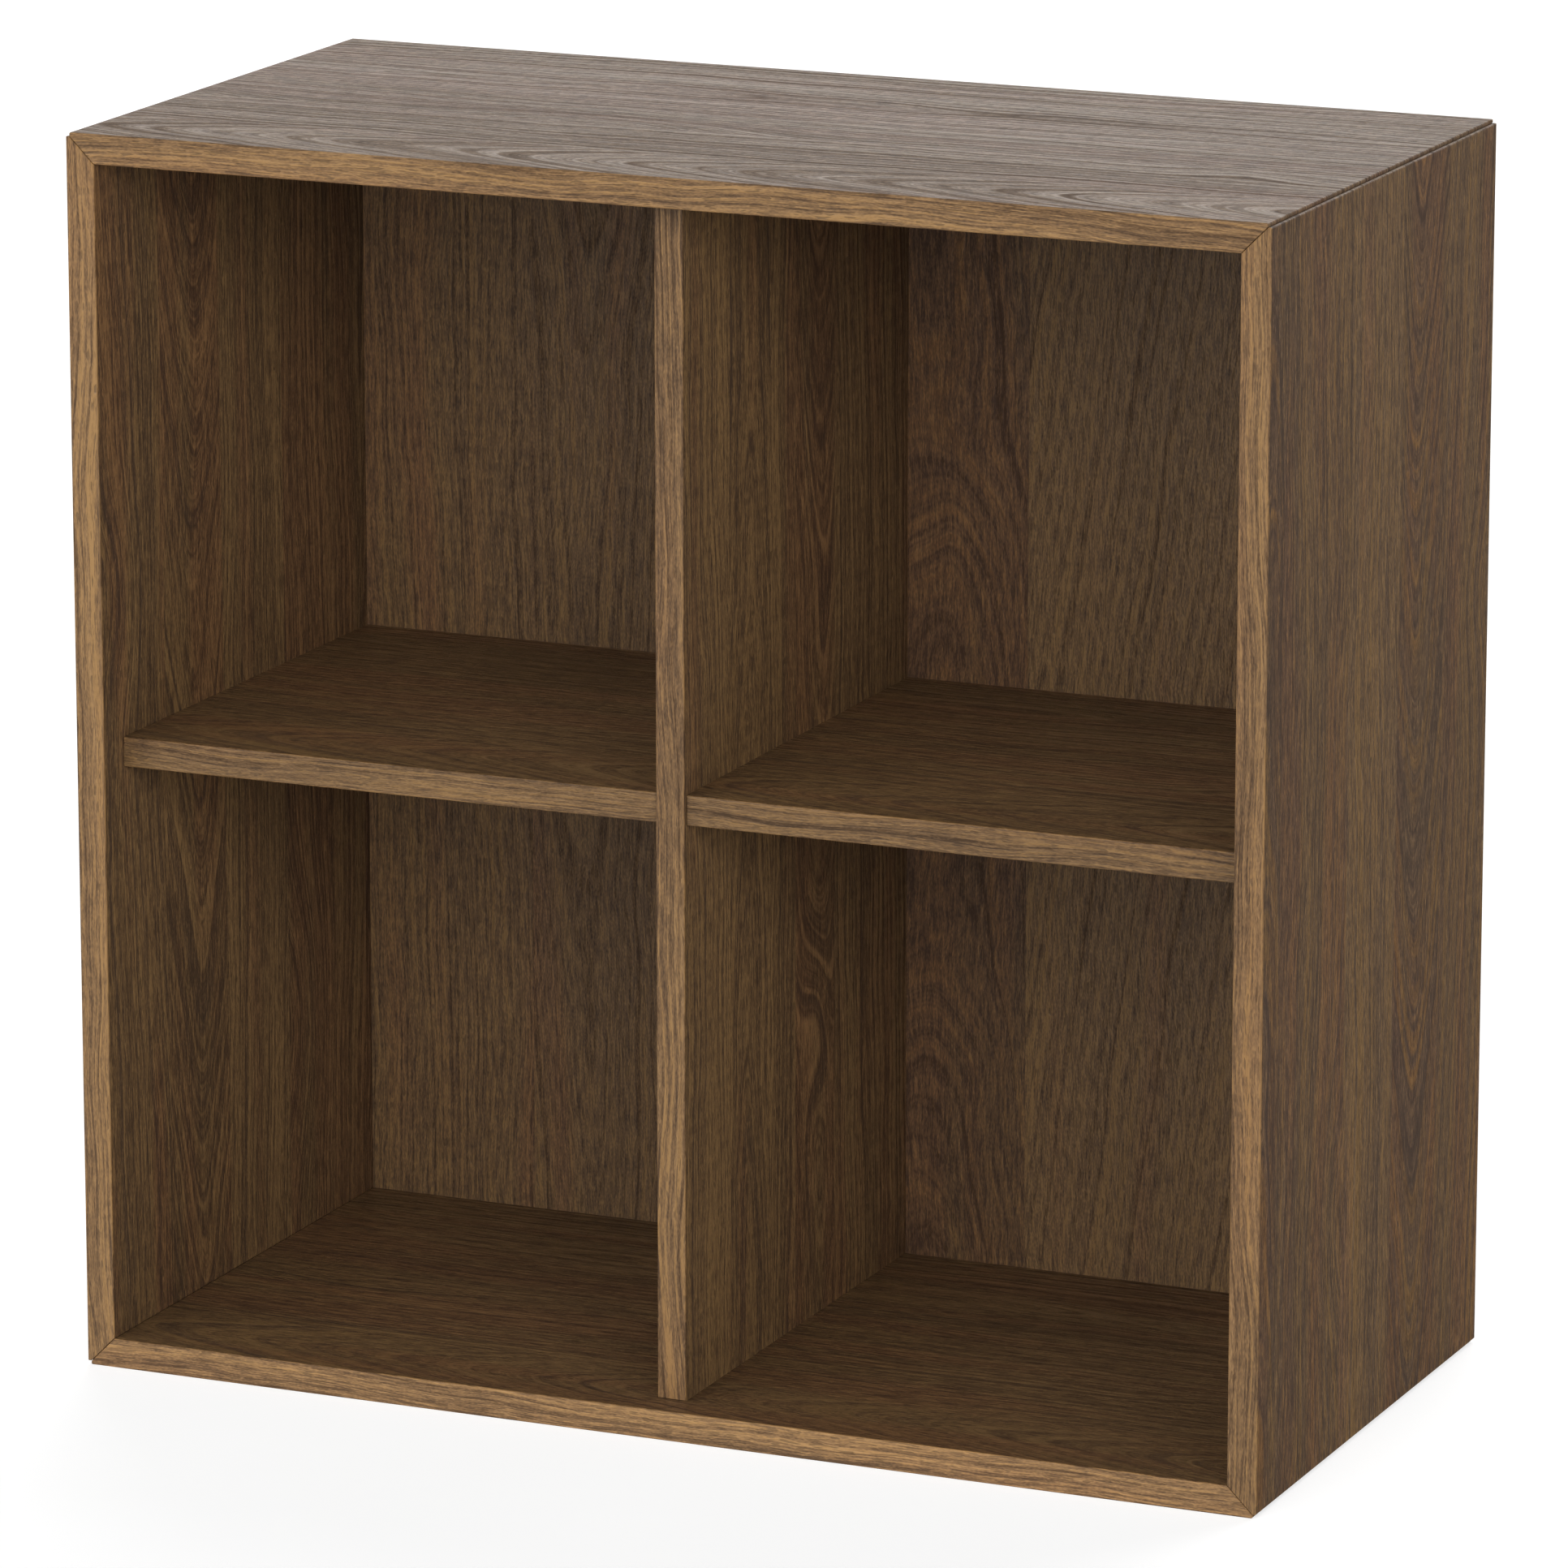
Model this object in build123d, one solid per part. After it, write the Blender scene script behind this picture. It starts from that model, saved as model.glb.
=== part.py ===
from build123d import *
from math import cos, pi, sin, sqrt
import os

# Cube storage unit: an open cabinet with four compartments. X runs across the width, Y from
# the front to the rear, Z upwards, and the origin is the middle of the underside. Four mitred
# boards make the carcass, a centre divider and two half-width shelves share it out, and an
# inset back panel sits in a groove.

os.makedirs("parts", exist_ok=True)

# Overall size
width = 700.0
depth = 350.0
height = 700.0

# Boards and the strips that cover their edges
board = 16.8
edging = 1.2
arris = 0.9  # rounding of the long edges
long_round = 0.8  # rounding of an edging strip along its length
end_arris = 0.3  # bevel on the ends of an edging strip

# Mitred corners: the sharp tips are cut off, and a hairline stays open
tip_cut = 2.2
mitre_gap = 0.3
setback = mitre_gap / 2 * sqrt(2)  # shortening of a board along its length, for half the gap
trim_reach = 4 * board  # size of the blocks that bevel the ends of an edging strip

# Divider and shelves stand back from the front edge
divider_recess = 20.5
shelf_recess = 23.0
divider_end_gap = 0.15
divider_edging_end_gap = 0.5
shelf_end_gap = 0.2
shelf_edging_end_gap = 0.4

# Back panel in its groove; the space behind it takes the hanging plates
back_thickness = 3.0
rear_recess = 15.0
groove_depth = 6.0
groove_play = 0.1
groove_end_play = 0.5
back_contact_gap = 0.2

# Fluted dowels
dowel_diameter = 8.0
dowel_length = 32.0
through_dowel_length = 56.0
dowel_flutes = 10
flute_radius = 0.45
dowel_chamfer = 0.8
hole_play = 0.05
hole_end_play = 0.5
corner_dowel_inset = 11.0  # from the outer face of the side board to the dowel's axis
corner_dowel_bite = 7.5  # how far it reaches into the top or bottom board
face_dowel_bite = 10.0  # how far a dowel reaches into a board through its face
corner_dowel_rows = (-130.0, 0.0, 130.0)
divider_dowel_rows = (-105.0, 105.0)
shelf_dowel_rows = (-105.0, 105.0)

# Hanging plates: a bent steel angle with a keyhole, screwed to the side board
plate_steel = 2.0
plate_width = 44.0
plate_height = 72.0
plate_top_gap = 24.0  # below the inner face of the top board
plate_rear_gap = 1.5  # in from the rear edge of the unit
plate_bend = 2.0  # inner radius of the bend
plate_corner = 3.0
plate_front_gap = 1.0  # behind the back panel
keyhole_entry = 6.5
keyhole_slot = 3.2
keyhole_rise = 14.0
keyhole_edge = 18.0  # from the plate's free edge to the keyhole's axis
plate_screw_pitch = 26.0
plate_screws_each = 3
plate_screw_back = 5.5  # from the back panel to the screws' axis

# Screws
back_screw = {"length": 20.0, "radius": 1.5, "head_radius": 3.1, "head_height": 1.8}
plate_screw = {"length": 14.0, "radius": 1.9, "head_radius": 3.6, "head_height": 2.2}
thread_pitch = 1.4
thread_depth = 0.4
screw_point = 3.0
cross_width = 0.9
cross_depth = 1.2
head_flat = 0.55  # flat top of a raised head, as a share of its radius
head_brim = 0.45  # straight rim of a raised head, as a share of its height
cross_reach = 1.1  # length of the cross slots, as a share of the head's radius
divider_screw_offsets = (-230.0, -60.0, 60.0, 230.0)  # from mid height

# Places that follow from the sizes above
half_width = width / 2
front = -depth / 2
rear = depth / 2
inner_side = half_width - board
inner_floor = board
inner_ceiling = height - board
mid_height = height / 2
half_board = board / 2
back_rear_face = rear - rear_recess
back_front_face = back_rear_face - back_thickness
dowel_radius = dowel_diameter / 2
hole_radius = dowel_radius + hole_play
plate_rear_face = rear - plate_rear_gap
plate_top = inner_ceiling - plate_top_gap
plate_screw_y = back_rear_face + plate_screw_back


def block(x_span, y_span, z_span):
    """A box given by its limits along each axis."""
    low = Vector(x_span[0], y_span[0], z_span[0])
    size = Vector(x_span[1], y_span[1], z_span[1]) - low
    corner = (Align.MIN, Align.MIN, Align.MIN)
    return Pos(low) * Box(size.X, size.Y, size.Z, align=corner)


def rod(start, end, radius):
    """A plain cylinder between two points."""
    line = Vector(*end) - Vector(*start)
    plane = Plane(origin=start, z_dir=line)
    return extrude(plane * Circle(radius), line.length)


def group(solids):
    """Several separate solids that are kept in one file."""
    return Compound(children=list(solids))


def save(name, shape):
    shape.label = name
    export_step(shape, f"parts/{name}.step")


# ---------------------------------------------------------------- mitred carcass boards


def mitred_section(length):
    """End view of a carcass board: outer face up at height 0, mitred at both ends."""
    tip = length / 2 - tip_cut
    root = length / 2 - board - setback
    outline = Polyline(
        (-tip, 0),
        (tip, 0),
        (tip, setback - tip_cut),
        (root, -board),
        (-root, -board),
        (-tip, setback - tip_cut),
        close=True,
    )
    section = make_face(outline)
    outer_corners = section.vertices().group_by(Axis.Y)[-1]
    return fillet(outer_corners, arris)


def mitred_bar(length, y_start, y_end):
    """The section of a carcass board, drawn out from y_start to y_end."""
    plane = Plane(origin=(0, y_start, 0), x_dir=(1, 0, 0), z_dir=(0, -1, 0))
    return extrude(plane * mitred_section(length), amount=y_end - y_start, dir=(0, 1, 0))


def half_space(origin, normal):
    """A block that fills the space beyond a plane, big enough to trim the end of a strip."""
    align = (Align.CENTER, Align.CENTER, Align.MIN)
    cutter = Box(trim_reach, trim_reach, trim_reach, align=align)
    return Plane(origin=origin, z_dir=normal).location * cutter


def mitred_edging(length, y_board, y_outside):
    """A strip that covers the front or rear edge of a carcass board, with rounded arrises."""
    outwards = 1 if y_outside > y_board else -1
    bar = mitred_bar(length, min(y_board, y_outside), max(y_board, y_outside))
    flat = make_face(
        Polyline((y_board, 0), (y_outside, 0), (y_outside, -board), (y_board, -board), close=True)
    )
    corners = flat.vertices().sort_by_distance((y_outside, -board / 2))[:2]
    flat = fillet(corners, long_round)
    end_plane = Plane(origin=(-length / 2, 0, 0), x_dir=(0, 1, 0), z_dir=(1, 0, 0))
    strip = bar & extrude(end_plane * flat, length)
    for end in (-1, 1):
        tip = (end * (length / 2 - tip_cut), y_outside - outwards * end_arris, -tip_cut / 2)
        root = (end * (length / 2 - board - setback), y_outside - outwards * end_arris, -board)
        strip = strip - half_space(tip, (end, outwards, 0))
        strip = strip - half_space(root, (end * sqrt(0.5), outwards, -sqrt(0.5)))
    return strip


def place_board(shape, side):
    """Turns a board that lies with its outer face up into its place in the carcass."""
    places = {
        "top": Pos(0, 0, height),
        "bottom": Rot(0, 180, 0),
        "right": Pos(half_width, 0, mid_height) * Rot(0, 90, 0),
        "left": Pos(-half_width, 0, mid_height) * Rot(0, -90, 0),
    }
    return places[side] * shape


sides = ("top", "bottom", "left", "right")
span = {"top": width, "bottom": width, "left": height, "right": height}

boards = {s: place_board(mitred_bar(span[s], front + edging, rear - edging), s) for s in sides}
front_edging = {s: place_board(mitred_edging(span[s], front + edging, front), s) for s in sides}
rear_edging = {s: place_board(mitred_edging(span[s], rear - edging, rear), s) for s in sides}

# One groove all round for the back panel
groove = block(
    (-inner_side - groove_depth, inner_side + groove_depth),
    (back_front_face - groove_play, back_rear_face + groove_play),
    (inner_floor - groove_depth, inner_ceiling + groove_depth),
)
boards = {s: boards[s] - groove for s in sides}

# ---------------------------------------------------------------- divider, shelves and back

divider_front = front + divider_recess
shelf_front = front + shelf_recess
partition_rear = back_front_face - back_contact_gap


def partition_edging(x_span, y_front, z_span, along):
    """The rounded front strip of the divider (along Z) or of a shelf (along X)."""
    strip = block(x_span, (y_front, y_front + edging), z_span)
    rim = strip.faces().sort_by(Axis.Y)[0].edges()
    strip = fillet(rim.filter_by(along), long_round)
    rim = strip.faces().sort_by(Axis.Y)[0].edges()
    return fillet(rim.filter_by(along, reverse=True), end_arris)


divider = block(
    (-half_board, half_board),
    (divider_front + edging, partition_rear),
    (inner_floor + divider_end_gap, inner_ceiling - divider_end_gap),
)
divider_front_edging = partition_edging(
    (-half_board, half_board),
    divider_front,
    (inner_floor + divider_edging_end_gap, inner_ceiling - divider_edging_end_gap),
    Axis.Z,
)

shelf_z = (mid_height - half_board, mid_height + half_board)


def shelf_x(side, end_gap):
    """The limits of the left (-1) or right (+1) shelf across the width."""
    ends = (side * (half_board + end_gap), side * (inner_side - end_gap))
    return min(ends), max(ends)


shelves = {}
shelf_edgings = {}
for name, side in (("left", -1), ("right", 1)):
    x_board = shelf_x(side, shelf_end_gap)
    x_strip = shelf_x(side, shelf_edging_end_gap)
    shelves[name] = block(x_board, (shelf_front + edging, partition_rear), shelf_z)
    shelf_edgings[name] = partition_edging(x_strip, shelf_front, shelf_z, Axis.X)

back_reach = groove_depth - groove_end_play
back_panel = block(
    (-inner_side - back_reach, inner_side + back_reach),
    (back_front_face, back_rear_face),
    (inner_floor - back_reach, inner_ceiling + back_reach),
)

# ---------------------------------------------------------------- dowels and their holes


def dowel(start, end):
    """A fluted dowel between two points, with chamfered ends."""
    line = Vector(*end) - Vector(*start)
    pin = Cylinder(dowel_radius, line.length, align=(Align.CENTER, Align.CENTER, Align.MIN))
    pin = chamfer(pin.edges().filter_by(GeomType.CIRCLE), dowel_chamfer)
    flute = Cylinder(flute_radius, line.length, align=(Align.CENTER, Align.CENTER, Align.MIN))
    turns = [2 * pi * k / dowel_flutes for k in range(dowel_flutes)]
    places = [Pos(dowel_radius * cos(a), dowel_radius * sin(a), 0) for a in turns]
    pin = pin - [place * flute for place in places]
    return Plane(origin=start, z_dir=line).location * pin


def dowel_hole(start, end):
    """The drilling for a dowel, a little wider and longer than the dowel."""
    a = Vector(*start)
    b = Vector(*end)
    extra = (b - a).normalized() * hole_end_play
    return rod(tuple(a - extra), tuple(b + extra), hole_radius)


dowels = {}
holes = {}


def set_dowels(name, ends):
    """Records a set of dowels and their drillings under one name."""
    dowels[name] = group(dowel(a, b) for a, b in ends)
    holes[name] = [dowel_hole(a, b) for a, b in ends]


# Corner dowels stand upright in the side boards and end inside the top and bottom boards
corner_x = half_width - corner_dowel_inset
mitre_top = height - corner_dowel_inset
for level, up in (("top", 1), ("bottom", -1)):
    for name, side in (("left", -1), ("right", 1)):
        mitre_z = mitre_top if up > 0 else corner_dowel_inset
        tip_z = mitre_z + up * corner_dowel_bite
        foot_z = tip_z - up * dowel_length
        x = side * corner_x
        ends = [((x, y, foot_z), (x, y, tip_z)) for y in corner_dowel_rows]
        set_dowels(f"{level}_{name}_corner_dowels", ends)

# Divider dowels, upright on the centre line
for level, up in (("top", 1), ("bottom", -1)):
    face_z = inner_ceiling if up > 0 else inner_floor
    tip_z = face_z + up * face_dowel_bite
    foot_z = tip_z - up * dowel_length
    ends = [((0, y, foot_z), (0, y, tip_z)) for y in divider_dowel_rows]
    set_dowels(f"divider_{level}_dowels", ends)

# Shelf dowels, level with the middle of the shelves
for name, side in (("left", -1), ("right", 1)):
    tip_x = side * (inner_side + face_dowel_bite)
    foot_x = tip_x - side * dowel_length
    ends = [((foot_x, y, mid_height), (tip_x, y, mid_height)) for y in shelf_dowel_rows]
    set_dowels(f"{name}_shelf_dowels", ends)

half_through = through_dowel_length / 2
ends = [((-half_through, y, mid_height), (half_through, y, mid_height)) for y in shelf_dowel_rows]
set_dowels("shelf_through_dowels", ends)


def drill(shape, *names):
    """Takes the drillings of the named sets of dowels out of a board."""
    for name in names:
        shape = shape - holes[name]
    return shape


boards["top"] = drill(
    boards["top"], "top_left_corner_dowels", "top_right_corner_dowels", "divider_top_dowels"
)
boards["bottom"] = drill(
    boards["bottom"], "bottom_left_corner_dowels", "bottom_right_corner_dowels", "divider_bottom_dowels"
)
boards["left"] = drill(
    boards["left"], "top_left_corner_dowels", "bottom_left_corner_dowels", "left_shelf_dowels"
)
boards["right"] = drill(
    boards["right"], "top_right_corner_dowels", "bottom_right_corner_dowels", "right_shelf_dowels"
)
divider = drill(divider, "divider_top_dowels", "divider_bottom_dowels", "shelf_through_dowels")
shelves["left"] = drill(shelves["left"], "left_shelf_dowels", "shelf_through_dowels")
shelves["right"] = drill(shelves["right"], "right_shelf_dowels", "shelf_through_dowels")

# ---------------------------------------------------------------- screws


def thread_outline(radius, start, length):
    """Saw-tooth profile of a wood screw's thread, as points from under the head to the tip."""
    count = int((length - screw_point) / thread_pitch)
    points = []
    for k in range(count):
        root = start - k * thread_pitch
        points.append((radius, root - thread_pitch / 2))
        points.append((radius - thread_depth, root - thread_pitch))
    return points + [(0, start - length)]


def screw(length, radius, head_radius, head_height, countersunk):
    """A cross-head wood screw that points down from height 0, where its head seats."""
    if countersunk:
        head = [(0, 0), (head_radius, 0), (radius - thread_depth, -head_height)]
        start = -head_height
    else:
        head = [(0, head_height), (head_radius * head_flat, head_height)]
        head += [(head_radius, head_height * head_brim), (head_radius, 0)]
        head += [(radius - thread_depth, 0)]
        start = 0
    outline = head + thread_outline(radius, start, length + start)
    profile = make_face(Plane.XZ * Polyline(*outline, close=True))
    body = revolve(profile, Axis.Z)
    top = head[0][1]
    arm = head_radius * cross_reach
    for turn in (0, 90):
        slot = Box(arm, cross_width, cross_depth, align=(Align.CENTER, Align.CENTER, Align.MAX))
        body = body - Pos(0, 0, top) * Rot(0, 0, turn) * slot
    return body


def screw_hole(length, radius, head_radius, head_height, countersunk):
    """The room for a screw that points down from height 0."""
    hang_down = (Align.CENTER, Align.CENTER, Align.MAX)
    shank = Cylinder(radius + hole_play, length + hole_end_play, align=hang_down)
    if not countersunk:
        return shank
    mouth = head_radius + hole_play
    sink = head_height * (mouth - radius) / (head_radius - radius + thread_depth)
    return shank + Cone(radius, mouth, sink, align=hang_down)


# The back panel is screwed to the rear edges of the divider and the shelves
shelf_middle = (half_board + inner_side) / 2
back_screw_points = [(0, mid_height + offset) for offset in divider_screw_offsets]
back_screw_points += [(side * shelf_middle, mid_height) for side in (-1, 1)]
into_back = [Pos(x, back_rear_face, z) * Rot(-90, 0, 0) for x, z in back_screw_points]
back_panel_screws = group(place * screw(**back_screw, countersunk=True) for place in into_back)
for place in into_back:
    hole = place * screw_hole(**back_screw, countersunk=True)
    back_panel = back_panel - hole
    divider = divider - hole
    shelves = {name: shelf - hole for name, shelf in shelves.items()}

# ---------------------------------------------------------------- hanging plates


def hanging_plate(side):
    """A steel angle: one leg on the side board, the other, with the keyhole, facing the wall."""
    leg_x = inner_side
    plate_low = plate_top - plate_height
    leg_front = back_rear_face + plate_front_gap
    outline = Polyline(
        (leg_x, leg_front),
        (leg_x, plate_rear_face),
        (leg_x - plate_width, plate_rear_face),
        (leg_x - plate_width, plate_rear_face - plate_steel),
        (leg_x - plate_steel, plate_rear_face - plate_steel),
        (leg_x - plate_steel, leg_front),
        close=True,
    )
    section = make_face(outline)
    outer_corner = (leg_x, plate_rear_face)
    inner_corner = (leg_x - plate_steel, plate_rear_face - plate_steel)
    section = fillet(section.vertices().sort_by_distance(outer_corner)[0], plate_bend + plate_steel)
    section = fillet(section.vertices().sort_by_distance(inner_corner)[0], plate_bend)
    plate = extrude(Pos(0, 0, plate_low) * section, plate_height)
    free_end = plate.faces().sort_by(Axis.X)[0].edges().filter_by(Axis.Y)
    plate = fillet(free_end, plate_corner)
    return plate if side > 0 else mirror(plate, Plane.YZ)


keyhole_x = inner_side - plate_width + keyhole_edge
keyhole_z = plate_top - plate_height / 2 - keyhole_rise / 2


def keyhole(side):
    """The keyhole's cutter: a round entry with a narrow slot above it."""
    x = side * keyhole_x
    y_span = (plate_rear_face - plate_steel - 1, plate_rear_face + 1)
    slot_top = keyhole_z + keyhole_rise
    entry = rod((x, y_span[0], keyhole_z), (x, y_span[1], keyhole_z), keyhole_entry)
    seat = rod((x, y_span[0], slot_top), (x, y_span[1], slot_top), keyhole_slot)
    neck = block((x - keyhole_slot, x + keyhole_slot), y_span, (keyhole_z, slot_top))
    return entry + seat + neck


plate_middle = plate_top - plate_height / 2
lowest_screw = plate_middle - (plate_screws_each - 1) / 2 * plate_screw_pitch
plate_screw_rows = [lowest_screw + k * plate_screw_pitch for k in range(plate_screws_each)]
hanging_plates = {}
plate_screws = []
for name, side in (("left", -1), ("right", 1)):
    plate = hanging_plate(side) - keyhole(side)
    for z in plate_screw_rows:
        place = Pos(side * (inner_side - plate_steel), plate_screw_y, z) * Rot(0, -90 * side, 0)
        hole = place * screw_hole(**plate_screw, countersunk=False)
        plate = plate - hole
        boards[name] = boards[name] - hole
        plate_screws.append(place * screw(**plate_screw, countersunk=False))
    hanging_plates[name] = plate

# ---------------------------------------------------------------- one file for each piece

board_names = {
    "top": "top_panel",
    "bottom": "bottom_panel",
    "left": "left_side_panel",
    "right": "right_side_panel",
}
pieces = {board_names[s]: boards[s] for s in sides}
pieces |= {f"{s}_front_edging": front_edging[s] for s in sides}
pieces |= {f"{s}_rear_edging": rear_edging[s] for s in sides}
pieces |= {"centre_divider": divider, "divider_front_edging": divider_front_edging}
pieces |= {f"{name}_shelf": shelf for name, shelf in shelves.items()}
pieces |= {f"{name}_shelf_edging": strip for name, strip in shelf_edgings.items()}
pieces |= {"back_panel": back_panel, "back_panel_screws": back_panel_screws}
pieces |= dowels
pieces |= {f"{name}_hanging_plate": plate for name, plate in hanging_plates.items()}
pieces |= {"hanging_plate_screws": group(plate_screws)}

for name, piece in pieces.items():
    save(name, piece)
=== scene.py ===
"""Looks of the cube storage unit: walnut-effect boards, golden edging, beech and steel fittings."""
import math

import bpy
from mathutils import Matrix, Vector


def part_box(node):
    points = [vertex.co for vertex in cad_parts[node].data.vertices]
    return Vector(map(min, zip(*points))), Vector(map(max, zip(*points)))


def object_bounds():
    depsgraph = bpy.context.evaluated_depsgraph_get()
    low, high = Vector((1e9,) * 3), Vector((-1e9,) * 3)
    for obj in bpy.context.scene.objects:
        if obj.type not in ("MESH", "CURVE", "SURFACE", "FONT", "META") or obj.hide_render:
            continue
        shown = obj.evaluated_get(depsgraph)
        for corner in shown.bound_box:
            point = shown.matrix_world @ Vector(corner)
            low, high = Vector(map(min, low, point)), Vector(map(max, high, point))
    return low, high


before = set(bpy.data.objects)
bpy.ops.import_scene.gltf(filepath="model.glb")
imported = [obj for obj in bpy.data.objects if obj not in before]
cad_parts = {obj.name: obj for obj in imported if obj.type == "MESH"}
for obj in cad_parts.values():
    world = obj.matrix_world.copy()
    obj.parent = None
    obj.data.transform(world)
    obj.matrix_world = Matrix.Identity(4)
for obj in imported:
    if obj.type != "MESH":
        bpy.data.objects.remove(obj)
cad_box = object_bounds()
floor_height = cad_box[0].z

# ---------------------------------------------------------------- node helpers


class Graph:
    """Adds nodes to a tree. An input can be another node's output or a plain value."""

    def __init__(self, tree):
        self.tree = tree

    def node(self, kind, inputs=None, **settings):
        made = self.tree.nodes.new(kind)
        for key, value in settings.items():
            setattr(made, key, value)
        for key, value in (inputs or {}).items():
            self.feed(made.inputs[key], value)
        return made

    def feed(self, socket, value):
        if isinstance(value, bpy.types.NodeSocket):
            self.tree.links.new(value, socket)
        else:
            socket.default_value = value

    def math(self, operation, *values):
        made = self.node("ShaderNodeMath", operation=operation)
        for socket, value in zip(made.inputs, values):
            self.feed(socket, value)
        return made.outputs[0]

    def combine(self, x, y, z):
        return self.node("ShaderNodeCombineXYZ", {"X": x, "Y": y, "Z": z}).outputs[0]

    def times(self, a, b):
        return self.math("MULTIPLY", a, b)

    def minus(self, a, b):
        return self.math("SUBTRACT", a, b)

    def noise(self, x, y, z, detail=2.0, roughness=0.5):
        """Noise at coordinates that are already scaled to its cells, centred on 0.5."""
        vector = self.combine(x, y, z)
        values = {"Vector": vector, "Scale": 1.0, "Detail": detail, "Roughness": roughness}
        return self.node("ShaderNodeTexNoise", values).outputs[0]

    def cells(self, place, rates, detail=2.0):
        """Noise with so many cells in a metre along x, y and z."""
        scaled = [self.times(at, rate) for at, rate in zip(place, rates)]
        return self.noise(*scaled, detail)

    def noise_line(self, w, detail=1.0, roughness=0.5):
        """Noise along a single coordinate."""
        values = {"W": w, "Scale": 1.0, "Detail": detail, "Roughness": roughness}
        return self.node("ShaderNodeTexNoise", values, noise_dimensions="1D").outputs[0]

    def ease(self, value, start, end):
        """0 before start, 1 after end, and a smooth step between them."""
        made = self.node("ShaderNodeMapRange", interpolation_type="SMOOTHSTEP")
        self.feed(made.inputs["Value"], value)
        self.feed(made.inputs["From Min"], start)
        self.feed(made.inputs["From Max"], end)
        return made.outputs[0]

    def swing(self, value, amount):
        """A value about 0.5, turned into one about 0 that swings by amount."""
        return self.times(self.minus(value, 0.5), amount)

    def total(self, *values):
        result = values[0]
        for value in values[1:]:
            result = self.math("ADD", result, value)
        return result

    def blend(self, factor, a, b, blend_type="MIX"):
        made = self.node("ShaderNodeMix", data_type="RGBA", blend_type=blend_type)
        self.feed(made.inputs["Factor"], factor)
        self.feed(made.inputs[6], a)
        self.feed(made.inputs[7], b)
        return made.outputs[2]

    def bump(self, shader, height, strength, distance):
        """Gives the shader a relief of the given distance."""
        values = {"Height": height, "Strength": strength, "Distance": distance}
        self.feed(shader.inputs["Normal"], self.node("ShaderNodeBump", values).outputs[0])

    def ramp(self, factor, stops):
        made = self.node("ShaderNodeValToRGB", {"Fac": factor})
        points = made.color_ramp.elements
        while len(points) < len(stops):
            points.new(0.5)
        for point, (position, colour) in zip(points, stops):
            point.position = position
            point.color = (*colour, 1)
        return made.outputs[0]


def new_material(name):
    """An empty material, its graph and its surface shader."""
    material = bpy.data.materials.new(name)
    material.use_nodes = True
    tree = material.node_tree
    tree.nodes.clear()
    graph = Graph(tree)
    shader = graph.node("ShaderNodeBsdfPrincipled")
    output = graph.node("ShaderNodeOutputMaterial")
    tree.links.new(shader.outputs[0], output.inputs["Surface"])
    return material, graph, shader


# ---------------------------------------------------------------- wood figure

# A board is faced with side-by-side strips of veneer. Each strip was cut from a log: its
# growth rings are cones about a pith, and the cut meets them as straight lines far from the
# pith and as nested arches over it. Lengths are metres.

# A strip's numbers travel in the colours of a ramp, which hold 0 to 1: these are their ranges
PITH_LOW, PITH_SPAN = -0.4, 1.4
DEPTH_SPAN = 0.1
TAPER_SPAN = 0.6

# Sets the noise of one strip apart from the next one's
STRIP_NUMBER = 53.0
# How far the rings and fibres stray sideways, and how far the pith strays from its depth
DRIFT = 0.022
FIBRE_DRIFT = 0.014
SWAY = 0.0075
FIBRE_SWAY = 0.004
RIPPLE = 0.0016
DEPTH_WANDER = 0.012
# How far a ring stays from an even count, and how much wider the rings are in a steep cut
RING_WANDER = 1.8
STEEP_WIDENING = 0.02
# The noise above which a pore shows, how much a dark ring lowers it, and its soft border
PORE_LEVEL = 0.63
PORE_CROWDING = 0.05
PORE_BORDER = 0.08


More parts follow.
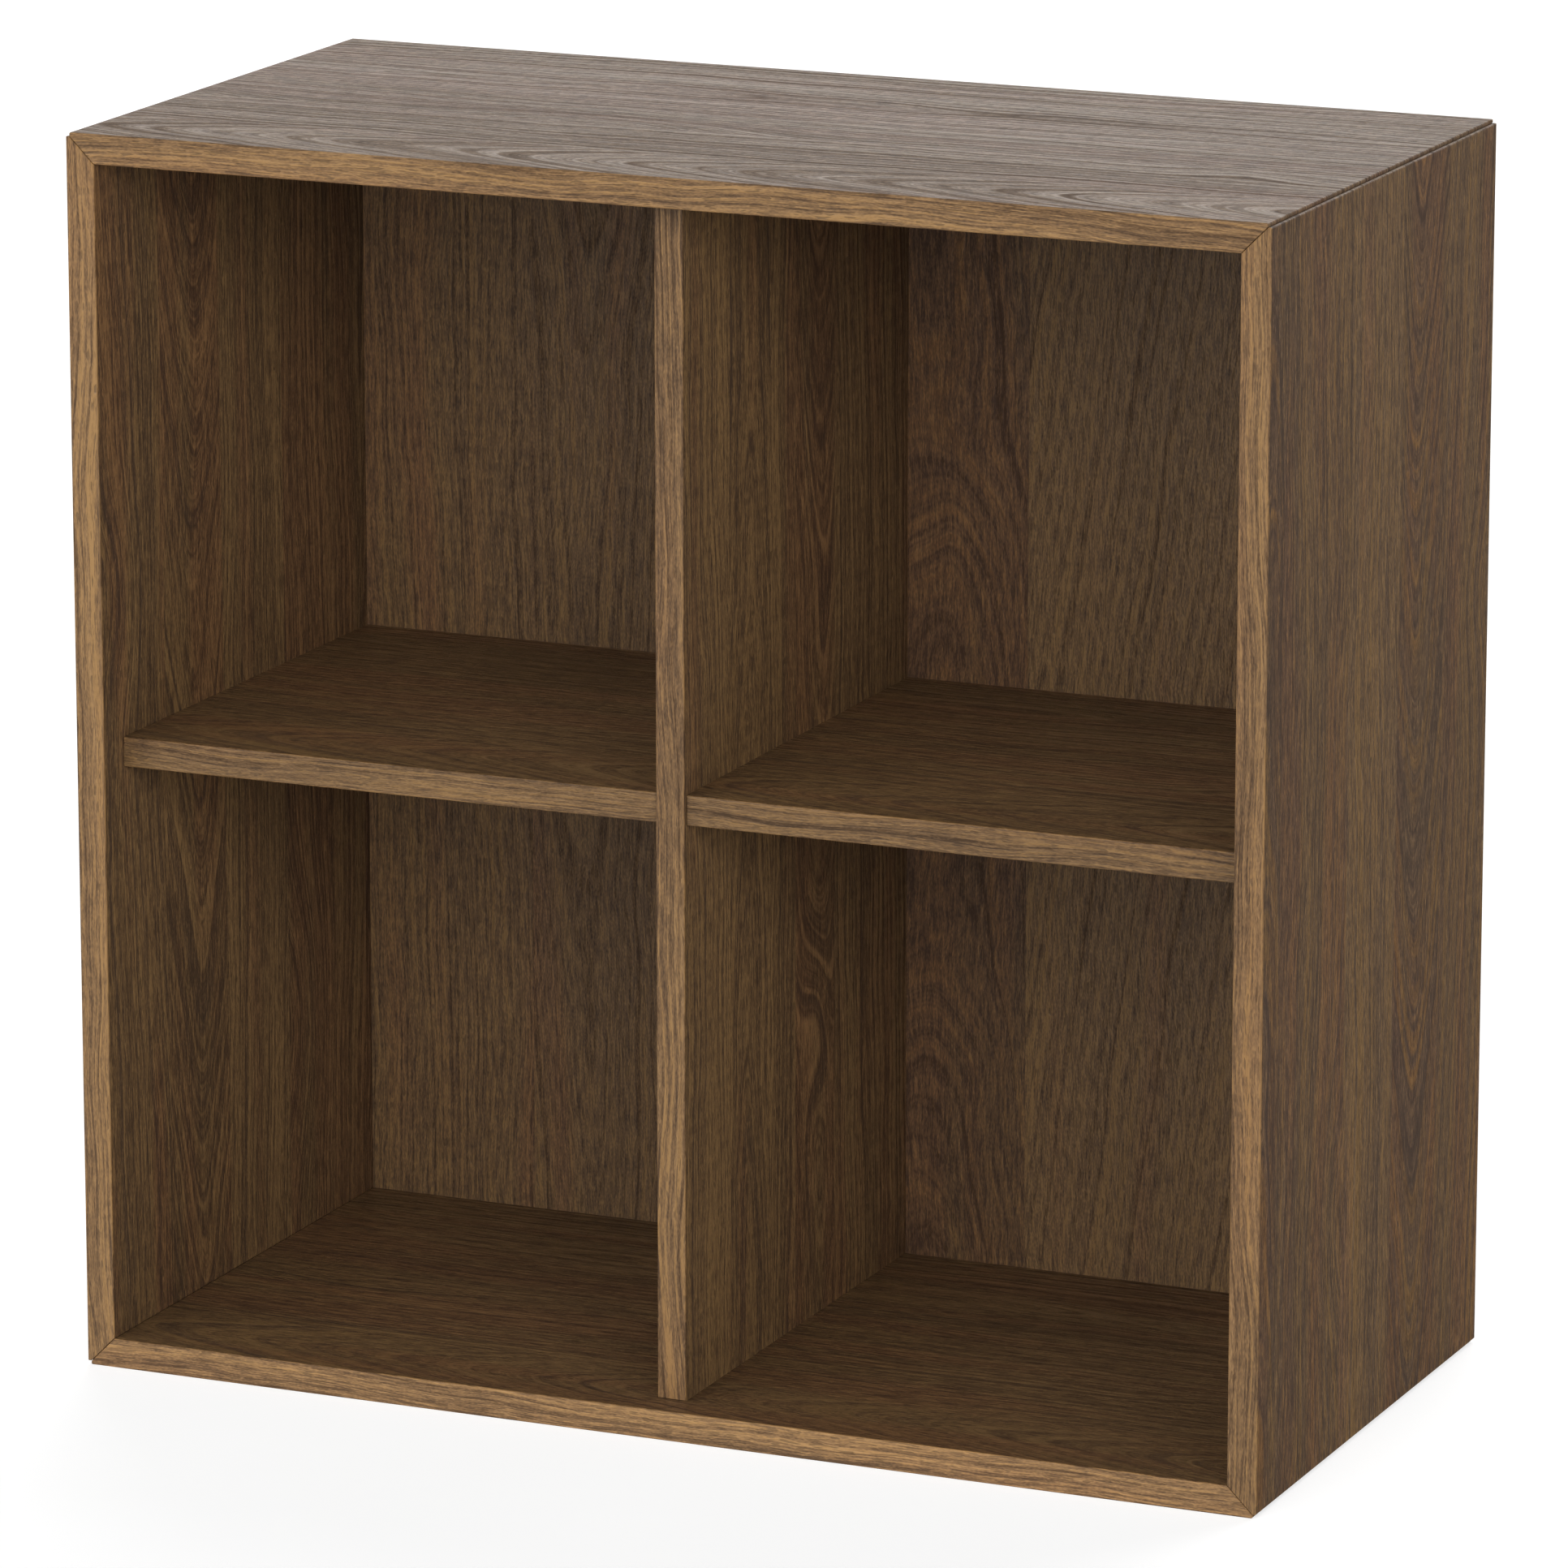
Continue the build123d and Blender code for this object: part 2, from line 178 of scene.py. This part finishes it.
def make_figure():
    """Node group that draws the rings, fibres and pores at a point of a board."""
    tree = bpy.data.node_groups.new("wood_figure", "ShaderNodeTree")
    for name in ("Across", "Along", "Seed", "Pith", "Depth", "Taper", "Gap", "Knots"):
        tree.interface.new_socket(name, in_out="INPUT", socket_type="NodeSocketFloat")
    for name in ("Ring", "Fibre", "Dash", "Pore", "Warmth"):
        tree.interface.new_socket(name, in_out="OUTPUT", socket_type="NodeSocketFloat")
    g = Graph(tree)
    source = g.node("NodeGroupInput").outputs
    across, along, seed, pith, depth, taper, gap, knots = list(source)[:8]

    number = g.total(seed, g.times(pith, STRIP_NUMBER))

    def grain(lane, rate_across, rate_along, shift=0.0, detail=0.0, roughness=1.0):
        """Noise with so many cells in a metre across the grain and along it."""
        return g.noise(
            g.times(lane, rate_across),
            g.times(along, rate_along),
            g.total(number, shift),
            detail,
            roughness,
        )

    # Growth rings
    drift = grain(across, 9.0, 3.2)
    wander = grain(pith, 0.0, 5.0, 2.3)
    sway = grain(across, 34.0, 13.0, 5.1)
    sideways = g.total(g.minus(across, pith), g.swing(drift, DRIFT))
    rise = g.total(depth, g.swing(wander, DEPTH_WANDER))
    radius = g.math("SQRT", g.total(g.times(sideways, sideways), g.times(rise, rise)))
    radius = g.total(radius, g.times(taper, along), g.swing(sway, SWAY))
    radius = g.total(radius, g.times(knots, gap), g.times(seed, 0.1))
    wide = g.total(gap, g.times(g.math("ABSOLUTE", taper), STEEP_WIDENING))
    turn = g.math("DIVIDE", radius, wide)
    turn = g.total(turn, g.swing(g.noise_line(g.times(turn, 0.45)), RING_WANDER))
    phase = g.math("FRACT", turn)
    fade = g.ease(phase, 0.86, 1.0)
    late = g.times(g.ease(phase, 0.25, 0.80), g.minus(1.0, fade))
    vigour = g.ease(g.noise_line(g.times(turn, 0.83), 0.0), 0.30, 0.70)
    ring = g.times(late, g.total(0.45, g.times(vigour, 0.55)))

    # Fibres and pores follow the grain's slow wander and a fine ripple
    ripple = grain(across, 55.0, 75.0, 9.7)
    lane = g.total(across, g.swing(drift, FIBRE_DRIFT), g.swing(sway, FIBRE_SWAY))
    lane = g.total(lane, g.swing(ripple, RIPPLE))
    broad = grain(radius, 40.0, 1.2, 8.1, 1.0)
    lines = grain(radius, 450.0, 3.0, 0.0, 2.0)
    fibre = g.total(g.times(broad, 0.25), g.times(lines, 0.75))
    coarse = grain(lane, 850.0, 70.0, 4.4)
    fine = grain(lane, 1200.0, 110.0, 6.2)
    grit = grain(lane, 2000.0, 500.0, 1.6)
    dash = g.total(g.times(coarse, 0.35), g.times(fine, 0.35), g.times(grit, 0.3))
    crowd = g.minus(PORE_LEVEL, g.times(ring, PORE_CROWDING))
    pore = g.ease(fine, crowd, g.total(crowd, PORE_BORDER))
    warmth = grain(lane, 26.0, 1.8, 3.7, 1.0)

    results = {"Ring": ring, "Fibre": fibre, "Dash": dash, "Pore": pore, "Warmth": warmth}
    g.node("NodeGroupOutput", results)
    return tree


figure = make_figure()

AXES = {"x": 0, "y": 1, "z": 2}

# The dark, middle and light colours of a veneer sit here on its ramp
RAMP_PLACES = 0.10, 0.50, 0.90
# The hue turns warm between these values, and dark strips are warmer than light ones
WARM_START, WARM_END = 0.40, 0.62
TONE_WARMTH = -1.5
# Light fibres are smooth; ring lines and pores are dull
FIBRE_DULLNESS = -1.5
DASH_DULLNESS = -0.7
RING_DULLNESS = 0.32
PORE_DULLNESS = 0.25
SMOOTHEST, DULLEST = 0.28, 0.9
VENEER_IOR = 1.5
# Fibres stand out and pores are sunk
DASH_RELIEF = 0.6
PORE_RELIEF = -0.5
RELIEF_HEIGHT = 0.0006
RELIEF_STRENGTH = 0.6
# Sets the noise of a board's near face apart from its far face's
FACE_NUMBER = 5.17


def cut_strips(g, across, width, strips):
    """Pith, depth, taper and tone of the strip that a point is on; a tone is partly the veneer's
    own lightness and partly painted light.

    A strip is (start, pith, depth, taper, tone), with start and pith measured across the board.
    """
    ramp = g.node("ShaderNodeValToRGB", {"Fac": g.math("DIVIDE", across, width)})
    ramp.color_ramp.interpolation = "CONSTANT"
    stops = ramp.color_ramp.elements
    while len(stops) > 1:
        stops.remove(stops[-1])
    for number, (start, pith, depth, taper, tone_and_painted_light) in enumerate(strips):
        stop = stops[0] if number == 0 else stops.new(start / width)
        coded = (pith - PITH_LOW) / PITH_SPAN, depth / DEPTH_SPAN, taper / TAPER_SPAN + 0.5
        stop.position = start / width
        stop.color = (*coded, tone_and_painted_light)
    parts = g.node("ShaderNodeSeparateColor", {"Color": ramp.outputs["Color"]}).outputs
    pith = g.total(PITH_LOW, g.times(parts[0], PITH_SPAN))
    depth = g.times(parts[1], DEPTH_SPAN)
    taper = g.times(g.minus(parts[2], 0.5), TAPER_SPAN)
    return pith, depth, taper, ramp.outputs["Alpha"]


def knot(g, across, along, place):
    """Rings that a small knot adds.

    A knot is (across, along, half-width, half-length, rings, first, last). It shows only on the
    strip between first and last.
    """
    at_across, at_along, half_width, half_length, rings, first, last = place
    u = g.math("DIVIDE", g.minus(across, at_across), half_width)
    v = g.math("DIVIDE", g.minus(along, at_along), half_length)
    distance = g.total(g.times(u, u), g.times(v, v))
    hump = g.math("EXPONENT", g.times(distance, -1.0))
    inside = g.times(g.math("GREATER_THAN", across, first), g.math("LESS_THAN", across, last))
    return g.times(g.times(hump, inside), rings)


def object_point(g):
    """The x, y and z of a point in metres, in the frame that every piece shares."""
    point = g.node("ShaderNodeTexCoord").outputs["Object"]
    return g.node("ShaderNodeSeparateXYZ", {"Vector": point}).outputs


def wood(name, across, along, span, seed, look, cut, gap, through=None, start_high=False):
    """Walnut-effect surface.

    across and along are axes, span the board's limits across, and cut its strips and knots.
    gap is the distance from ring to ring. through = (axis, middle) tells the board's two faces
    apart; they are mirror images, with the cut measured from the low edge on the far face, or
    from the high edge if start_high.
    """
    material, g, shader = new_material(name)
    axes = object_point(g)
    width = span[1] - span[0]
    offset = g.minus(axes[AXES[across]], span[0])
    number = seed
    if start_high:
        offset = g.minus(width, offset)
    if through is not None:
        near = g.math("LESS_THAN", axes[AXES[through[0]]], through[1])
        flipped = g.minus(width, offset)
        offset = g.total(offset, g.times(near, g.minus(flipped, offset)))
        number = g.total(seed, g.times(near, FACE_NUMBER))
    strips, knots = cut
    pith, depth, taper, tone_and_painted_light = cut_strips(g, offset, width, strips)
    length = axes[AXES[along]]
    extra = g.total(0.0, *[knot(g, offset, length, place) for place in knots])
    made = g.node("ShaderNodeGroup", node_tree=figure)
    values = (offset, length, number, pith, depth, taper, gap, extra)
    for socket, value in zip(made.inputs, values):
        g.feed(socket, value)
    ring, fibre, dash, pore, warmth = made.outputs
    # the strip's tone, painted light included on some strips, moves the shade here
    shade = g.total(
        look["level"],
        g.times(ring, -look["ring"]),
        g.swing(fibre, look["fibre"]),
        g.swing(dash, look["dash"]),
        g.swing(tone_and_painted_light, look["tone_and_painted_light"]),
    )
    colour = g.ramp(shade, tuple(zip(RAMP_PLACES, look["colours"])))
    tinted = g.blend(1.0, colour, (*look["warm"], 1), "MULTIPLY")
    redness = g.total(warmth, g.swing(tone_and_painted_light, TONE_WARMTH))
    colour = g.blend(g.ease(redness, WARM_START, WARM_END), colour, tinted)
    colour = g.blend(g.times(pore, look["pore"]), colour, (*look["pore_colour"], 1))
    g.feed(shader.inputs["Base Color"], colour)
    dull = g.total(g.swing(fibre, FIBRE_DULLNESS), g.swing(dash, DASH_DULLNESS))
    dull = g.total(dull, g.times(ring, RING_DULLNESS))
    rough = g.total(look["roughness"], dull, g.times(pore, PORE_DULLNESS))
    rough = g.math("MINIMUM", g.math("MAXIMUM", rough, SMOOTHEST), DULLEST)
    g.feed(shader.inputs["Roughness"], rough)
    shader.inputs["IOR"].default_value = VENEER_IOR
    relief = g.total(fibre, g.times(dash, DASH_RELIEF), g.times(pore, PORE_RELIEF))
    g.bump(shader, relief, RELIEF_STRENGTH, RELIEF_HEIGHT)
    return material


# Looks: colours and tints of the veneer, and how strongly each part of its figure shows in them
FACE = {
    "colours": ((0.046, 0.026, 0.014), (0.104, 0.059, 0.027), (0.186, 0.109, 0.045)),
    "warm": (1.05, 0.95, 0.97),
    "pore_colour": (0.034, 0.019, 0.010),
    "level": 0.56,
    "ring": 0.19,
    "fibre": 1.25,
    "dash": 2.5,
    "tone_and_painted_light": 1.2,
    "pore": 0.6,
    "roughness": 0.40,
}
EDGE = {
    **FACE,
    "colours": ((0.056, 0.030, 0.013), (0.137, 0.075, 0.030), (0.224, 0.128, 0.050)),
    "warm": (1.02, 0.98, 0.98),
    "pore_colour": (0.036, 0.019, 0.009),
    "ring": 0.17,
    "fibre": 2.7,
    "dash": 1.8,
    "pore": 0.55,
}
UPRIGHT = {**FACE, "ring": 0.25, "fibre": 2.2, "dash": 2.6, "pore": 0.7}

# Distance from ring to ring, on the boards and on the edging
BOARD_GAP = 0.0055
EDGE_GAP = 0.0045

# Cuts, as (strips, knots); a strip's tone is partly its veneer's own and, on some strips, painted
# light. Side boards:
# measured from the rear edge on the right-hand outer face and from the front edge on the left-hand
# inner one, which match
SIDE_CUT = (
    (
        # painted light: this strip's tone is raised to light the front of the left board's inner
        # face, which also lightens the rear of the right board's outer face
        (0.000, 0.150, 0.030, -0.050, 0.51),
        (0.072, 0.114, 0.012, -0.250, 0.46),
        (0.145, 0.460, 0.020, 0.012, 0.58),
        (0.222, 0.120, 0.050, 0.016, 0.50),
        (0.324, 0.345, 0.020, 0.050, 0.45),
    ),
    (
        (0.020, 0.440, 0.035, 0.060, 3.5, 0.000, 0.072),
        (0.222, 0.140, 0.040, 0.070, -7.0, 0.222, 0.324),
        (0.170, 0.480, 0.035, 0.070, 1.6, 0.145, 0.222),
    ),
)
# Horizontal boards: measured from the front edge on the upper face
FLAT_CUT = (
    (
        (0.000, 0.034, 0.012, -0.260, 0.55),
        (0.063, 0.420, 0.030, 0.012, 0.52),
        (0.139, 0.020, 0.050, 0.006, 0.50),
        (0.200, 0.255, 0.010, 0.016, 0.50),
        (0.290, 0.650, 0.030, 0.008, 0.52),
    ),
    (
        (0.139, -0.095, 0.026, 0.070, -8.0, 0.139, 0.200),
        (0.139, -0.345, 0.022, 0.045, -4.0, 0.139, 0.200),
        (0.132, 0.285, 0.020, 0.040, 2.5, 0.063, 0.139),
    ),
)
# Divider: measured from the front edge on the right-hand face
DIVIDER_CUT = (
    (
        # painted light: the front strip's tone is raised to light the divider's front
        (0.000, -0.220, 0.030, 0.010, 0.64),
        (0.060, 0.086, 0.012, 0.050, 0.58),
        (0.115, 0.480, 0.030, 0.012, 0.54),
        (0.150, 0.185, 0.022, -0.100, 0.46),
        (0.204, -0.120, 0.040, 0.015, 0.52),
    ),
    ((0.180, 0.180, 0.024, 0.060, 3.0, 0.150, 0.204),),
)
# Back panel: measured from the left edge on the front face; its strips' tones are raised, most on
# the right part of each compartment, as a painted sheen
BACK_CUT = (
    (
        (0.000, -0.300, 0.050, 0.010, 0.54),
        (0.110, 0.145, 0.018, -0.045, 0.56),
        (0.220, 0.700, 0.050, 0.012, 0.61),
        (0.330, 0.362, 0.034, 0.100, 0.42),
        (0.420, 0.240, 0.030, -0.170, 0.61),
        (0.560, 0.100, 0.030, -0.020, 0.58),
    ),
    (
        (0.360, 0.500, 0.050, 0.080, 3.0, 0.330, 0.420),
        (0.360, 0.220, 0.040, 0.090, 3.0, 0.330, 0.420),
    ),
)
EDGE_CUT = (((0.000, -0.060, 0.020, 0.012, 0.50),), ())


def cover(node, material):
    """Gives a CAD node a new material in every one of its slots."""
    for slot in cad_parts[node].material_slots:
        slot.material = material


def limits(node, axis):
    """Lowest and highest place of a node along an axis."""
    a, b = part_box(node)
    return a[AXES[axis]], b[AXES[axis]]


# Each board: its grain, the direction across it and the one through it, its seed, its look, how
# it was cut, and whether the cut is measured from the high edge
BOARDS = {
    "top_panel": ("x", "y", "z", 1.3, FACE, FLAT_CUT, False),
    "bottom_panel": ("x", "y", "z", 2.9, FACE, FLAT_CUT, False),
    "left_side_panel": ("z", "y", "x", 4.1, UPRIGHT, SIDE_CUT, False),
    "right_side_panel": ("z", "y", "x", 6.7, UPRIGHT, SIDE_CUT, True),
    "centre_divider": ("z", "y", "x", 8.3, UPRIGHT, DIVIDER_CUT, False),
    "left_shelf": ("x", "y", "z", 10.9, FACE, FLAT_CUT, False),
    "right_shelf": ("x", "y", "z", 12.1, FACE, FLAT_CUT, False),
    "back_panel": ("z", "x", "y", 14.6, FACE, BACK_CUT, True),
}
for node, (along, across, through, seed, look, cut, start_high) in BOARDS.items():
    span = limits(node, across)
    parting = (through, sum(limits(node, through)) / 2)
    veneer = wood(node, across, along, span, seed, look, cut, BOARD_GAP, parting, start_high)
    cover(node, veneer)

# Each edging: its grain, the direction across it, its seed, and how light its veneer is, painted
# light included: the bottom edging is made lighter to make up for the shadow on the floor in front
# of it, and the shelf edgings darker as painted shade of their recess
EDGINGS = {
    "top_front_edging": ("x", "z", 21.3, 0.94),
    # painted light: made lighter to make up for the shadow on the floor in front of the unit
    "bottom_front_edging": ("x", "z", 22.7, 1.2),
    "left_front_edging": ("z", "x", 23.9, 0.96),
    "right_front_edging": ("z", "x", 25.1, 0.87),
    "divider_front_edging": ("z", "x", 26.3, 0.86),
    # painted shade: the recessed shelf edgings are made darker for the shade in their recess
    "left_shelf_edging": ("x", "z", 27.7, 0.73),
    "right_shelf_edging": ("x", "z", 28.1, 0.70),
    "top_rear_edging": ("x", "z", 29.9, 1.0),
    "bottom_rear_edging": ("x", "z", 31.1, 1.0),
    "left_rear_edging": ("z", "x", 32.7, 1.0),
    "right_rear_edging": ("z", "x", 33.1, 1.0),
}
for node, (along, across, seed, lightness_and_painted_light) in EDGINGS.items():
    # the veneer's colours are scaled here by the edging's lightness, painted light and shade
    # included
    colours = tuple(tuple(lightness_and_painted_light * c for c in colour) for colour in EDGE["colours"])
    look = {**EDGE, "colours": colours}
    span = limits(node, across)
    cover(node, wood(node, across, along, span, seed, look, EDGE_CUT, EDGE_GAP))

# ---------------------------------------------------------------- fittings


def beech():
    """Bare beech of the hidden dowels."""
    material, g, shader = new_material("beech")
    place = object_point(g)
    grain = g.cells(place, (900.0, 900.0, 60.0), 3.0)
    fleck = g.cells(place, (300.0, 2500.0, 300.0))
    colour = g.ramp(grain, ((0.3, (0.36, 0.22, 0.11)), (0.7, (0.56, 0.38, 0.21))))
    colour = g.blend(g.times(g.ease(fleck, 0.62, 0.7), 0.5), colour, (0.24, 0.13, 0.06, 1))
    g.feed(shader.inputs["Base Color"], colour)
    g.feed(shader.inputs["Roughness"], g.total(0.6, g.swing(grain, 0.2)))
    g.bump(shader, grain, 0.3, 0.0002)
    return material


def zinc(name, tint):
    """Zinc plating: mottled crystals, fine scratches and a little dulling."""
    material, g, shader = new_material(name)
    place = object_point(g)
    crystals = g.node("ShaderNodeTexVoronoi", {"Vector": g.combine(*place), "Scale": 260.0})
    spangle = g.node("ShaderNodeSeparateColor", {"Color": crystals.outputs["Color"]}).outputs[0]
    scratch = g.cells(place, (200.0, 2400.0, 3000.0))
    dull = g.cells(place, (60.0, 60.0, 60.0), 3.0)
    shade = g.total(0.5, g.swing(spangle, 0.25), g.swing(scratch, 0.3), g.swing(dull, 0.4))
    dark = tuple(0.72 * c for c in tint)
    g.feed(shader.inputs["Base Color"], g.ramp(shade, ((0.2, dark), (0.8, tint))))
    shader.inputs["Metallic"].default_value = 1.0
    g.feed(shader.inputs["Roughness"], g.total(0.36, g.swing(spangle, 0.12), g.swing(dull, 0.25)))
    g.bump(shader, scratch, 0.2, 0.0001)
    return material


dowel_wood = beech()
plate_zinc = zinc("plate_zinc", (0.62, 0.63, 0.65))
screw_zinc = zinc("screw_zinc", (0.70, 0.64, 0.47))
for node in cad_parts:
    if node.endswith("_dowels"):
        cover(node, dowel_wood)
    elif node.endswith("_hanging_plate"):
        cover(node, plate_zinc)
    elif node.endswith("_screws"):
        cover(node, screw_zinc)

# ---------------------------------------------------------------- studio

# Half the floor's length in metres, and how strongly it glows
FLOOR_HALF = 100.0
FLOOR_GLOW = 0.68


def floor_material():
    """Matt pale light table: it glows softly, with a very faint mottle in its top sheet."""
    material, g, shader = new_material("studio_floor")
    mottle = g.cells(object_point(g), (3.0, 3.0, 0.0), 4.0)
    sheet = g.ramp(mottle, ((0.3, (0.39, 0.39, 0.39)), (0.7, (0.41, 0.41, 0.41))))
    g.feed(shader.inputs["Base Color"], sheet)
    shader.inputs["Roughness"].default_value = 0.9
    shader.inputs["Emission Color"].default_value = (1, 1, 1, 1)
    shader.inputs["Emission Strength"].default_value = FLOOR_GLOW
    return material


floor_mesh = bpy.data.meshes.new("studio_floor")
corners = [(-1, -1), (1, -1), (1, 1), (-1, 1)]
floor_points = [(x * FLOOR_HALF, y * FLOOR_HALF, floor_height) for x, y in corners]
floor_mesh.from_pydata(floor_points, [], [(0, 1, 2, 3)])
floor = bpy.data.objects.new("studio_floor", floor_mesh)
bpy.context.collection.objects.link(floor)
floor_mesh.materials.append(floor_material())
floor.visible_glossy = False  # seen by mirror-like rays it would make the compartments too bright

# Large soft lights: azimuth from the front towards the right, elevation, apparent size, strength
SOFT_LIGHTS = {
    "front": (0, 17, 38, 0.73),
    "front_left": (-43, 17, 34, 1.45),
    "front_right": (43, 17, 32, 1.75),
    "front_high": (0, 42, 34, 0.67),
    "rear_high": (180, 50, 50, 2.11),
}


def direction(azimuth, elevation):
    """Unit vector towards a place seen at these angles, in degrees; azimuth 0 is the front."""
    a = math.radians(azimuth)
    e = math.radians(elevation)
    return Vector((math.sin(a) * math.cos(e), -math.cos(a) * math.cos(e), math.sin(e)))


for name, (azimuth, elevation, size, strength) in SOFT_LIGHTS.items():
    lamp = bpy.data.lights.new(name, "SUN")
    lamp.angle = math.radians(size)
    lamp.energy = strength
    item = bpy.data.objects.new(name, lamp)
    item.rotation_euler = direction(azimuth, elevation).to_track_quat("Z", "Y").to_euler()
    item.visible_glossy = name.startswith("rear")  # the low front lights leave no glare on the top
    bpy.context.collection.objects.link(item)

# How bright the wall round the studio is
BAND_FRONT = 1.18
BAND_REAR = 0.92
BAND_REAR_RIGHT = 0.15


def make_world():
    """Pale wall all round: a bright horizon, light up to mid height, and dark above and below."""
    made = bpy.data.worlds.new("studio")
    made.use_nodes = True
    g = Graph(made.node_tree)
    view = g.node("ShaderNodeTexCoord").outputs["Generated"]
    x, y, z = g.node("ShaderNodeSeparateXYZ", {"Vector": view}).outputs
    to_rear = g.ease(y, -0.3, 0.3)
    to_right = g.ease(x, 0.05, 0.30)
    rear = g.total(BAND_REAR, g.times(to_right, BAND_REAR_RIGHT - BAND_REAR))
    wall = g.total(BAND_FRONT, g.times(to_rear, g.minus(rear, BAND_FRONT)))
    height = g.minus(g.ease(z, -0.05, 0.0), g.ease(z, 0.30, 0.55))
    horizon = g.minus(1.0, g.ease(g.math("ABSOLUTE", z), 0.04, 0.10))
    strength = g.math("MAXIMUM", g.times(wall, height), horizon)
    background = made.node_tree.nodes["Background"]
    background.inputs["Color"].default_value = (1, 1, 1, 1)
    g.feed(background.inputs["Strength"], strength)
    return made


bpy.context.scene.world = make_world()
bpy.context.scene.view_settings.view_transform = "Standard"

# ---------------------------------------------------------------- camera

# The photo's viewing angle, in degrees; lengths in metres, lens and sensor in millimetres
AZIMUTH = 23.5
ELEVATION = 13.7
DISTANCE = 5.2
AIM_HEIGHT = 0.33
FOCAL_LENGTH = 215.0
SENSOR_WIDTH = 36.0
FARTHEST_SEEN = 400.0
aim = Vector((0, 0, AIM_HEIGHT))
back = direction(AZIMUTH, ELEVATION)
lens = bpy.data.cameras.new("camera")
lens.sensor_width = SENSOR_WIDTH
lens.lens = FOCAL_LENGTH
lens.clip_end = FARTHEST_SEEN
camera = bpy.data.objects.new("camera", lens)
camera.location = aim + back * DISTANCE
camera.rotation_euler = (-back).to_track_quat("-Z", "Y").to_euler()
bpy.context.collection.objects.link(camera)
bpy.context.scene.camera = camera
